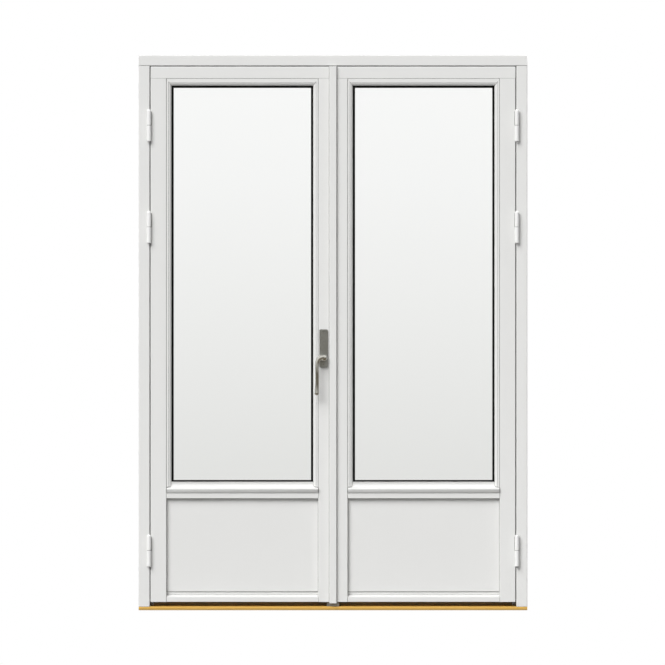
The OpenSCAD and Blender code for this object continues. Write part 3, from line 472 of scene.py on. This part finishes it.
def grid_faces(rows, columns):
    """The quads of a rows by columns grid of points, closed round its columns."""
    i, j = (a.ravel() for a in np.meshgrid(np.arange(rows - 1), np.arange(columns), indexing="ij"))
    i1, j1 = i + 1, (j + 1) % columns
    return np.stack([i * columns + j, i * columns + j1, i1 * columns + j1, i1 * columns + j], 1)


def make_piece(name, parts, material, body, stands_for, crease_deg):
    """One object from (points, faces) parts, smooth but for creases. Faces are lists of corners."""
    verts, faces, start = [], [], 0
    for points, polygons in parts:
        verts.append(points)
        faces += [[k + start for k in polygon] for polygon in polygons]
        start += len(points)
    mesh = bpy.data.meshes.new(name)
    mesh.from_pydata(np.concatenate(verts).tolist(), [], faces)
    mesh.validate()
    mesh.materials.append(material)
    mesh.polygons.foreach_set("use_smooth", np.ones(len(mesh.polygons), bool))
    mesh.set_sharp_from_angle(angle=math.radians(crease_deg))
    mesh.update()
    piece = bpy.data.objects.new(name, mesh)
    bpy.context.scene.collection.objects.link(piece)
    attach(piece, body)
    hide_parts(*stands_for)


def capped(points):
    """A tube's grid of points with a fan round the middle of each end."""
    rows, columns = points.shape[:2]
    ends = np.stack([points[0].mean(0), points[-1].mean(0)])
    j = np.arange(columns)
    k = (j + 1) % columns
    first = np.stack([np.full(columns, rows * columns), k, j], 1)
    last_row = (rows - 1) * columns
    last = np.stack([np.full(columns, rows * columns + 1), last_row + j, last_row + k], 1)
    fans = np.stack([first, last], 1).reshape(-1, 3)
    return np.concatenate([points.reshape(-1, 3), ends]), grid_faces(rows, columns).tolist() + fans.tolist()


def outward(part):
    """Turns a closed part's faces round if they point inwards, as its volume tells. Each face fans out into
    triangles from its first corner. The volume is the sum of that corner's dot product with the cross product
    of the other two."""
    points, faces = part
    fans = np.array([(f[0], b, c) for f in faces for b, c in zip(f[1:-1], f[2:])])
    corner, second, third = (points[fans[:, k]] for k in range(3))
    volume = (corner * np.cross(second, third)).sum()
    return (points, [f[::-1] for f in faces]) if volume < 0 else part


def round_angles(columns):
    return np.linspace(0, 2 * math.pi, columns, endpoint=False)


def spline(points, count):
    """A smooth line through the points: a Catmull-Rom cubic between each two, evenly sampled."""
    p = np.vstack([2 * points[0] - points[1], points, 2 * points[-1] - points[-2]])
    t = np.linspace(0, len(p) - 3 - 1e-9, count)
    i = t.astype(int)
    f = (t - i)[:, None]
    a, b, c, d = p[i], p[i + 1], p[i + 2], p[i + 3]
    bend = (2 * a - 5 * b + 4 * c - d) * f**2 + (3 * b - a - 3 * c + d) * f**3
    return 0.5 * (2 * b + (c - a) * f + bend)


def swept(path, across, deep, columns=40):
    """A tube along a path. Each section is an ellipse square to the path, with its first half-width across
    (in the plane of the doorway) and its second deep (away from it)."""
    tangent = np.gradient(path, axis=0)
    tangent /= np.linalg.norm(tangent, axis=1)[:, None]
    side = np.cross(tangent, np.array([0.0, 1.0, 0.0]))
    side /= np.linalg.norm(side, axis=1)[:, None]
    out = np.cross(side, tangent)
    angle = round_angles(columns)
    ring = (across[:, None] * np.cos(angle))[:, :, None] * side[:, None]
    ring = ring + (deep[:, None] * np.sin(angle))[:, :, None] * out[:, None]
    return path[:, None] + ring


def turned_on_y(profile, centre, columns=64):
    """A profile of (radius, y) points turned about a line along Y through the centre."""
    angle = round_angles(columns)
    x = centre[0] + profile[:, :1] * np.cos(angle)
    z = centre[1] + profile[:, :1] * np.sin(angle)
    y = np.repeat(profile[:, 1:], columns, 1)
    return np.stack([x, y, z], 2)


# ---------------------------------------------------------------- levers

# Millimetres from the spindle: along the doorway, out from the plate and up, down the middle of the lever
LEVER_LINE = (
    (-1, 11, 0.2), (-5.5, 16.5, 1.6), (-12.5, 19.8, -0.6), (-18.6, 21.4, -7.5), (-22.2, 22.9, -19),
    (-23.2, 24.8, -34), (-23.0, 26.2, -54), (-22.8, 26.3, -78), (-23.2, 26.1, -100), (-24.0, 26.9, -120),
    (-24.7, 28.0, -133.6))
# Its half-widths in millimetres across and deep, at these shares of its length
LEVER_SHARES = (0, 0.1, 0.22, 0.36, 0.5, 0.7, 0.84, 0.93, 1)
LEVER_ACROSS = (9.6, 9.3, 8.9, 8.1, 6.9, 6.6, 7.3, 8.3, 8.0)
LEVER_DEEP = (9.2, 8.8, 8.2, 7.5, 6.8, 6.2, 6.6, 7.4, 7.2)
LEVER_ROWS = 150
LEVER_BLEND = 8  # rows to each side that a half-width is averaged over
LEVER_CLOSING = 0.055  # the share of the length in which the end closes
# The hub in millimetres, as radius and reach out from the plate: its neck, collar and wall, then its dome
HUB_WALL = ((9.9, -7.5), (9.9, 0.2), (11.4, 0.3), (12.0, 0.9), (12.0, 12.5))
DOME_R, DOME_BASE, DOME_RISE = 12.2, 12.5, 9.5
DOME_TIP = (0.05, 22.0)
DOME_RINGS = 14


def lever_grip(spindle_x, spindle_z, plate_y, outwards):
    """An elliptical tube along a smooth line from the hub. Its end closes as a quarter ellipse does: by the
    root of 1 less the square of the way through the closing."""
    line = np.array(LEVER_LINE) * MM * (1, outwards, 1) + (spindle_x, plate_y, spindle_z)
    share = np.linspace(0, 1, LEVER_ROWS)
    window = np.hanning(2 * LEVER_BLEND + 1)
    through = np.clip((share - 1 + LEVER_CLOSING) / LEVER_CLOSING, 0, 1)
    closing = np.sqrt(np.maximum(1 - through**2, 0.0))
    widths = []
    for table in (LEVER_ACROSS, LEVER_DEEP):
        width = np.pad(np.interp(share, LEVER_SHARES, table) * MM, LEVER_BLEND, mode="edge")
        widths.append(np.convolve(width, window / window.sum(), "valid") * closing)
    return outward(capped(swept(spline(line, LEVER_ROWS), *widths)))


def lever_hub(spindle_x, spindle_z, plate_y, outwards):
    """A wall and a domed end turned about the spindle. The dome is a quarter ellipse."""
    angle = np.linspace(0, QUARTER, DOME_RINGS)[1:-1]
    dome = np.stack([DOME_R * np.cos(angle), DOME_BASE + DOME_RISE * np.sin(angle)], 1)
    profile = np.vstack([HUB_WALL, dome, DOME_TIP]) * MM * (1, outwards) + (0, plate_y)
    return outward(capped(turned_on_y(profile, (spindle_x, spindle_z))))


plate_face_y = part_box("outer_plate")[0].y
back_face_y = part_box("inner_plate")[1].y
spindle_lo, spindle_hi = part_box("spindle")
SPINDLE_X = (spindle_lo.x + spindle_hi.x) / 2
SPINDLE_Z = (spindle_lo.z + spindle_hi.z) / 2
for side, plate_y, outwards in (("outer", plate_face_y, -1), ("inner", back_face_y, 1)):
    seat = (SPINDLE_X, SPINDLE_Z, plate_y, outwards)
    make_piece(f"{side}_lever_cast", [lever_grip(*seat), lever_hub(*seat)],
               MATERIALS["cast_steel"], "handle", (f"{side}_lever",), crease_deg=50)

# ---------------------------------------------------------------- screws

# Metres, but for the turns of thread
HINGE_SCREW = {"head_r": 0.0039, "shank_r": 0.0019, "length": 0.021, "cone": 0.002, "turns": 9}
PLATE_SCREW = {"head_r": 0.0044, "shank_r": 0.0019, "length": 0.0245, "cone": 0.003, "turns": 9}
FRAME_SCREW = {"head_r": 0.0048, "shank_r": 0.0024, "length": 0.074, "cone": 0.004, "turns": 18}
SCREW_COLUMNS = 32
# Shares of the head's radius: the rings of its top, and its cross recess
HEAD_RINGS = np.array([0.02, 0.1, 0.2, 0.3, 0.4, 0.5, 0.6, 0.72, 0.86, 0.96])
SLOT_FLOOR, SLOT_WALL = 0.09, 0.135
SLOT_REACH, SLOT_RUNOUT = 0.5, 0.16
SLOT_DEPTH, SLOT_TAPER = 0.5, 0.3
HEAD_EDGE = 0.06  # the share of the cone that stays straight below the head's rim
THREAD_ROOT = 0.76  # the thread's smallest radius over the shank's
TIP_R = 0.02  # the tip's radius over the shank's
POINT_START = 1.5  # shank radii from the tip where the point begins
# The recess stands at this angle in degrees, and up to the span more, as the screw's height gives
RECESS_TURN, RECESS_SPAN = 17, 61


def screw_head(angle, head_r):
    """Flat rings with a cross recess. A point sinks where it is near either slot, less so further out."""
    ring = HEAD_RINGS[:, None] * head_r
    x, y = ring * np.cos(angle), ring * np.sin(angle)
    near = np.minimum(np.abs(x), np.abs(y))
    inside = 1 - np.clip((near - SLOT_FLOOR * head_r) / (SLOT_WALL * head_r), 0, 1)
    within = 1 - np.clip((ring - SLOT_REACH * head_r) / (SLOT_RUNOUT * head_r), 0, 1)
    sink = inside * within * SLOT_DEPTH * head_r * (1 - SLOT_TAPER * ring / head_r)
    return np.stack([x, y, -sink], 2)


def screw_shank(angle, head_r, shank_r, length, cone, turns):
    """A cone from the head to the shank, then a thread down to a point: its radius is a triangle wave of the
    depth in turns less the angle round."""
    thread = np.linspace(cone, length - POINT_START * shank_r, 4 * turns)[1:]
    depth = np.concatenate([[HEAD_EDGE * cone, cone], thread, [length]])[:, None]
    wave = np.abs((depth / (length / turns) - angle / (2 * math.pi)) % 1.0 - 0.5) * 2
    radius = shank_r * (THREAD_ROOT + (1 - THREAD_ROOT) * wave)
    radius[0], radius[1], radius[-1] = head_r, shank_r, TIP_R * shank_r
    return np.stack([radius * np.cos(angle), radius * np.sin(angle), np.repeat(-depth, SCREW_COLUMNS, 1)], 2)


def screw_part(origin, axis, head_r, shank_r, length, cone, turns):
    """A countersunk screw as a grid of rings by angles. Its axis points out of its head, whose top is at the
    origin."""
    angle = round_angles(SCREW_COLUMNS)
    shank = screw_shank(angle, head_r, shank_r, length, cone, turns)
    local = np.concatenate([screw_head(angle, head_r), shank])
    w = np.asarray(axis, float)
    u = np.array([0.0, 0.0, 1.0]) if abs(w[2]) < 0.9 else np.array([1.0, 0.0, 0.0])
    v = np.cross(w, u)
    spin = math.radians(RECESS_TURN + RECESS_SPAN * (abs(origin[2]) * 10 % 1))
    u, v = u * math.cos(spin) + v * math.sin(spin), v * math.cos(spin) - u * math.sin(spin)
    points = np.asarray(origin) + local[..., :1] * u + local[..., 1:2] * v + local[..., 2:] * w
    return outward(capped(points))


# Where each hinge parts, above the floor, and its screws: depth behind the outdoor face, and distance from
# the parting
HINGE_PARTINGS = (0.212, 1.361, 1.722)
HINGE_SCREWS = ((0.013, 0.012), (0.031, 0.026), (0.013, 0.040))
LEAF_GAP = 0.003
HINGE_SCREW_SUNK = 0.0001
front_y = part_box("left_jamb")[0].y
leaf_edge = -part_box("left_hinge_stile")[0].x
jamb_edge = leaf_edge + LEAF_GAP


def hinge_screw_parts(side, edge, into, up):
    """The screws of one side's hinges in a leaf (up 1) or in a jamb (up -1)."""
    x = side * edge + into * HINGE_SCREW_SUNK
    return [screw_part((x, front_y + deep, parting + up * along), (-into, 0, 0), **HINGE_SCREW)
            for parting in HINGE_PARTINGS for deep, along in HINGE_SCREWS]


for word, side in (("left", -1), ("right", 1)):
    make_piece(f"{word}_leaf_hinge_screws", hinge_screw_parts(side, leaf_edge, -side, 1),
               MATERIALS["zinc"], f"{word}_leaf", (f"{word}_hinge_screws",), crease_deg=35)
make_piece("jamb_hinge_screws",
           hinge_screw_parts(-1, jamb_edge, -1, -1) + hinge_screw_parts(1, jamb_edge, 1, -1),
           MATERIALS["zinc"], "frame", ("hinge_screws_frame",), crease_deg=35)

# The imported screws' own head radii give the middles of the outermost ones
PLATE_HEAD_R, FRAME_HEAD_R = 0.0046, 0.005
PLATE_SCREW_SUNK = 0.0003
screws_lo, screws_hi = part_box("plate_screws")
plate_screws = [
    screw_part((SPINDLE_X, y - out * PLATE_SCREW_SUNK, z), (0, out, 0), **PLATE_SCREW)
    for y, out in ((plate_face_y, -1), (back_face_y, 1))
    for z in (screws_lo.z + PLATE_HEAD_R, screws_hi.z - PLATE_HEAD_R)]
make_piece("handle_plate_screws", plate_screws, MATERIALS["satin_steel"], "left_leaf",
           ("plate_screws",), crease_deg=35)

frame_lo, frame_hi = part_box("frame_screws")
frame_screws = [
    screw_part((x, y, z), (0, 0, out), **FRAME_SCREW)
    for x in (frame_lo.x + FRAME_HEAD_R, frame_hi.x - FRAME_HEAD_R)
    for y in (frame_lo.y + FRAME_HEAD_R, frame_hi.y - FRAME_HEAD_R)
    for z, out in ((frame_hi.z, 1), (frame_lo.z, -1))]
make_piece("frame_corner_screws", frame_screws, MATERIALS["zinc"], "frame", ("frame_screws",),
           crease_deg=35)

# ---------------------------------------------------------------- bottom beads

# Metres, as distances down from the bead's top or along Y
NOSE_R = 0.006
NOSE_FALL = 0.0215  # where the cove runs into the nose
APRON_T, APRON_DROP = 0.0015, 0.0022  # the apron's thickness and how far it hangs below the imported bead
HEEL_FALL = 0.024
LIP_H, LIP_BACK, LIP_EASE = 0.0008, 0.0006, 0.0002
LIP_ANGLE = math.radians(34)  # how far above the level the cove's circle starts, under the lip
BACK_RELIEF = 0.0008
COVE_POINTS, NOSE_POINTS = 24, 12
END_EASE, END_SHRINK = 0.0006, 0.985  # the ends' eased length and the share the section keeps there


def arc(centre_y, centre_z, radius, start, end, count):
    """Points on a circle in Y and Z, from one angle to another. Angles count from Y towards Z."""
    angle = np.linspace(start, end, count)
    return np.stack([centre_y + radius * np.cos(angle), centre_z + radius * np.sin(angle)], 1)


def sill_bead_profile(lo, hi):
    """The bead's section in Y and Z, from its heel over the back, lip, cove and nose to the apron. The back
    leans in by its relief and comes out again at the top. The cove starts under a lip that overhangs it a
    little, and runs in a circle into the quarter circle of the nose."""
    cove_y = lo.y + NOSE_R
    cove_r = (NOSE_FALL - LIP_H) / (1 + math.sin(LIP_ANGLE))
    cove_z = hi.z - NOSE_FALL + cove_r
    heel = [[front_y, hi.z - HEEL_FALL], [hi.y, hi.z - HEEL_FALL]]
    inset = BACK_RELIEF * (1 - np.sin(np.linspace(0, QUARTER, 5)))
    back = np.stack([hi.y - inset, hi.z - inset], 1)
    cove = arc(cove_y, cove_z, cove_r, LIP_ANGLE, -QUARTER, COVE_POINTS)
    nose = arc(cove_y, cove_z - cove_r - NOSE_R, NOSE_R, QUARTER, math.pi, NOSE_POINTS)
    lip = [[cove[0, 0] + LIP_BACK, hi.z], [cove[0, 0] + LIP_EASE, hi.z - LIP_EASE]]
    apron = [[front_y - APRON_T, lo.z - APRON_DROP], [front_y, lo.z - APRON_DROP]]
    return np.concatenate([heel, back, lip, cove, nose, apron])


def bead_part(mirrored):
    """The profile carried along X in a few steps, with its two ends closed."""
    lo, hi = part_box("left_bottom_bead")
    profile = sill_bead_profile(lo, hi)
    xs = np.array([lo.x, lo.x + END_EASE, hi.x - END_EASE, hi.x])
    middle = profile.mean(0)
    shrink = np.array([END_SHRINK, 1.0, 1.0, END_SHRINK])
    rows = middle + (profile - middle) * shrink[:, None, None]
    points = np.concatenate([np.repeat(xs[:, None, None], len(profile), 1), rows], 2)
    if mirrored:
        points[..., 0] *= -1
    columns = len(profile)
    last_row = (len(xs) - 1) * columns
    faces = grid_faces(len(xs), columns).tolist()
    faces += [list(range(columns)), list(range(last_row, last_row + columns))[::-1]]
    return outward((points.reshape(-1, 3), faces))


for word in ("left", "right"):
    make_piece(f"{word}_bottom_bead_moulding", [bead_part(word == "right")], MATERIALS["paint_across"],
               f"{word}_leaf", (f"{word}_bottom_bead",), crease_deg=40)

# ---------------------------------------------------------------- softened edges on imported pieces


def soften(name, width, segments, angle_deg=35):
    """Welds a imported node's loose triangles and rounds its crisp edges, as modifiers."""
    node = nodes[name]
    weld = node.modifiers.new("weld", "WELD")
    weld.merge_threshold = 0.00001
    bevel = node.modifiers.new("arris", "BEVEL")
    bevel.width = width
    bevel.segments = segments
    bevel.limit_method = "ANGLE"
    bevel.angle_limit = math.radians(angle_deg)
    bevel.harden_normals = True


for name in ("outer_plate", "inner_plate"):
    soften(name, width=0.0012, segments=3)

# ---------------------------------------------------------------- stage, light and camera

FLOOR_REACH, FLOOR_Z = 16.0, -0.0004
DRUM_R, DRUM_H, DRUM_SIDES, DRUM_ROWS = 9.0, 9.0, 96, 10


def stage_object(name, points, faces, material):
    """A mesh that belongs to the studio and not to the doors."""
    mesh = bpy.data.meshes.new(name)
    mesh.from_pydata(points, [], faces)
    mesh.materials.append(material)
    thing = bpy.data.objects.new(name, mesh)
    bpy.context.scene.collection.objects.link(thing)
    return thing


def studio_floor():
    """A wide flat floor. It is pale to the eye and darker to light that bounces off it, so it doesn't light
    things from below, and darker still and brown in anything shiny."""
    made = Finish("studio_floor")
    made.constant(Roughness=0.7, Specular_IOR_Level=0.2)
    tree = made.tree
    path = tree.nodes.new("ShaderNodeLightPath")
    mirrored = math_node(tree, "MULTIPLY", path.outputs["Is Glossy Ray"], path.outputs["Is Reflection Ray"])
    to_eye = mix(tree, mirrored, (0.66, 0.66, 0.655), (0.15, 0.125, 0.085))
    made.feed("Base Color", mix(tree, path.outputs["Is Diffuse Ray"], to_eye, (0.27, 0.27, 0.27)))
    r, z = FLOOR_REACH, FLOOR_Z
    stage_object("studio_floor", [(-r, -r, z), (r, -r, z), (r, r, z), (-r, r, z)], [(0, 1, 2, 3)],
                 made.material)


def drum_glow():
    """Light that is palest near the doors' heads and greyer lower down."""
    material = bpy.data.materials.new("sky_drum")
    material.use_nodes = True
    tree = material.node_tree
    tree.nodes.remove(tree.nodes["Principled BSDF"])
    where = tree.nodes.new("ShaderNodeTexCoord")
    axes = place(tree, "ShaderNodeSeparateXYZ")
    link(tree, where.outputs["Object"], axes.inputs[0])
    high = place(tree, "ShaderNodeMapRange", From_Min=0.4, From_Max=1.9)
    link(tree, axes.outputs["Z"], high.inputs[0])
    glow = tree.nodes.new("ShaderNodeEmission")
    colour = ramp(tree, high.outputs[0], [
        (0.0, (0.80, 0.80, 0.79)), (0.5, (0.92, 0.92, 0.915)),
        (0.75, (0.975, 0.975, 0.975)), (1.0, (1.01, 1.01, 1.01))])
    link(tree, colour, glow.inputs["Color"])
    link(tree, glow.outputs[0], tree.nodes["Material Output"].inputs["Surface"])
    return material


def sky_drum():
    """A wide drum round the stage that only light through glass sees: a circle carried straight up."""
    turn = round_angles(DRUM_SIDES)
    circle = np.stack([DRUM_R * np.cos(turn), DRUM_R * np.sin(turn)], 1)
    heights = np.linspace(0.0, DRUM_H, DRUM_ROWS)
    points = np.concatenate([
        np.repeat(circle[None], DRUM_ROWS, 0), np.repeat(heights[:, None, None], DRUM_SIDES, 1)], 2)
    faces = grid_faces(DRUM_ROWS, DRUM_SIDES).tolist()
    drum = stage_object("sky_drum", points.reshape(-1, 3).tolist(), faces, drum_glow())
    for kind in ("camera", "diffuse", "glossy", "shadow", "volume_scatter"):
        setattr(drum, f"visible_{kind}", False)


def studio_room():
    """White to the eye and soft grey to the surfaces. Anything shiny sees it dim round the horizon, and
    dimmest in front and behind."""
    world = bpy.data.worlds.new("studio")
    bpy.context.scene.world = world
    world.use_nodes = True
    tree = world.node_tree
    sky = tree.nodes["Background"]
    direction = place(tree, "ShaderNodeTexCoord")
    axes = place(tree, "ShaderNodeSeparateXYZ")
    link(tree, direction.outputs["Generated"], axes.inputs[0])
    aside = math_node(tree, "ABSOLUTE", axes.outputs["X"])
    low = ramp(tree, aside, [(0.2, (0.11, 0.088, 0.048)), (0.7, (0.20, 0.197, 0.19))])
    height = ramp(tree, axes.outputs["Z"], [(0.04, 0.0), (0.36, 1.0)])
    band = mix(tree, height, low, (1.05, 1.05, 1.03))
    path = tree.nodes.new("ShaderNodeLightPath")
    seen = mix(tree, path.outputs["Is Glossy Ray"], (0.30, 0.30, 0.305), band)
    link(tree, mix(tree, path.outputs["Is Camera Ray"], seen, (1.0, 1.0, 1.0)), sky.inputs["Color"])
    sky.inputs["Strength"].default_value = 1.0


def distant_light(name, towards, spread_deg, strength):
    """Parallel light that travels along a direction, softened by the angle that its source spans. Shiny
    things mirror the room instead of it."""
    data = bpy.data.lights.new(name, "SUN")
    data.angle = math.radians(spread_deg)
    data.energy = strength
    lamp = bpy.data.objects.new(name, data)
    bpy.context.scene.collection.objects.link(lamp)
    lamp.visible_glossy = False
    x, y, z = towards
    lamp.rotation_euler = (math.acos(-z / math.hypot(x, y, z)), 0, math.atan2(y, x) - QUARTER)


def square_on_camera(x, away, height, width):
    """A level camera, square on to the outdoor face and without perspective."""
    data = bpy.data.cameras.new("view")
    data.type = "ORTHO"
    data.ortho_scale = width
    camera = bpy.data.objects.new("view", data)
    bpy.context.scene.collection.objects.link(camera)
    camera.location = (x, -away, height)
    camera.rotation_euler = (QUARTER, 0, 0)
    bpy.context.scene.camera = camera


studio_floor()
sky_drum()
studio_room()
distant_light("key", towards=(0.40, 0.62, -0.68), spread_deg=42.0, strength=3.27)
distant_light("back_fill", towards=(-0.45, -0.80, -0.38), spread_deg=40.0, strength=1.6)
square_on_camera(x=-0.0018, away=8.0, height=0.986, width=2.361)
bpy.context.scene.view_settings.view_transform = "Standard"
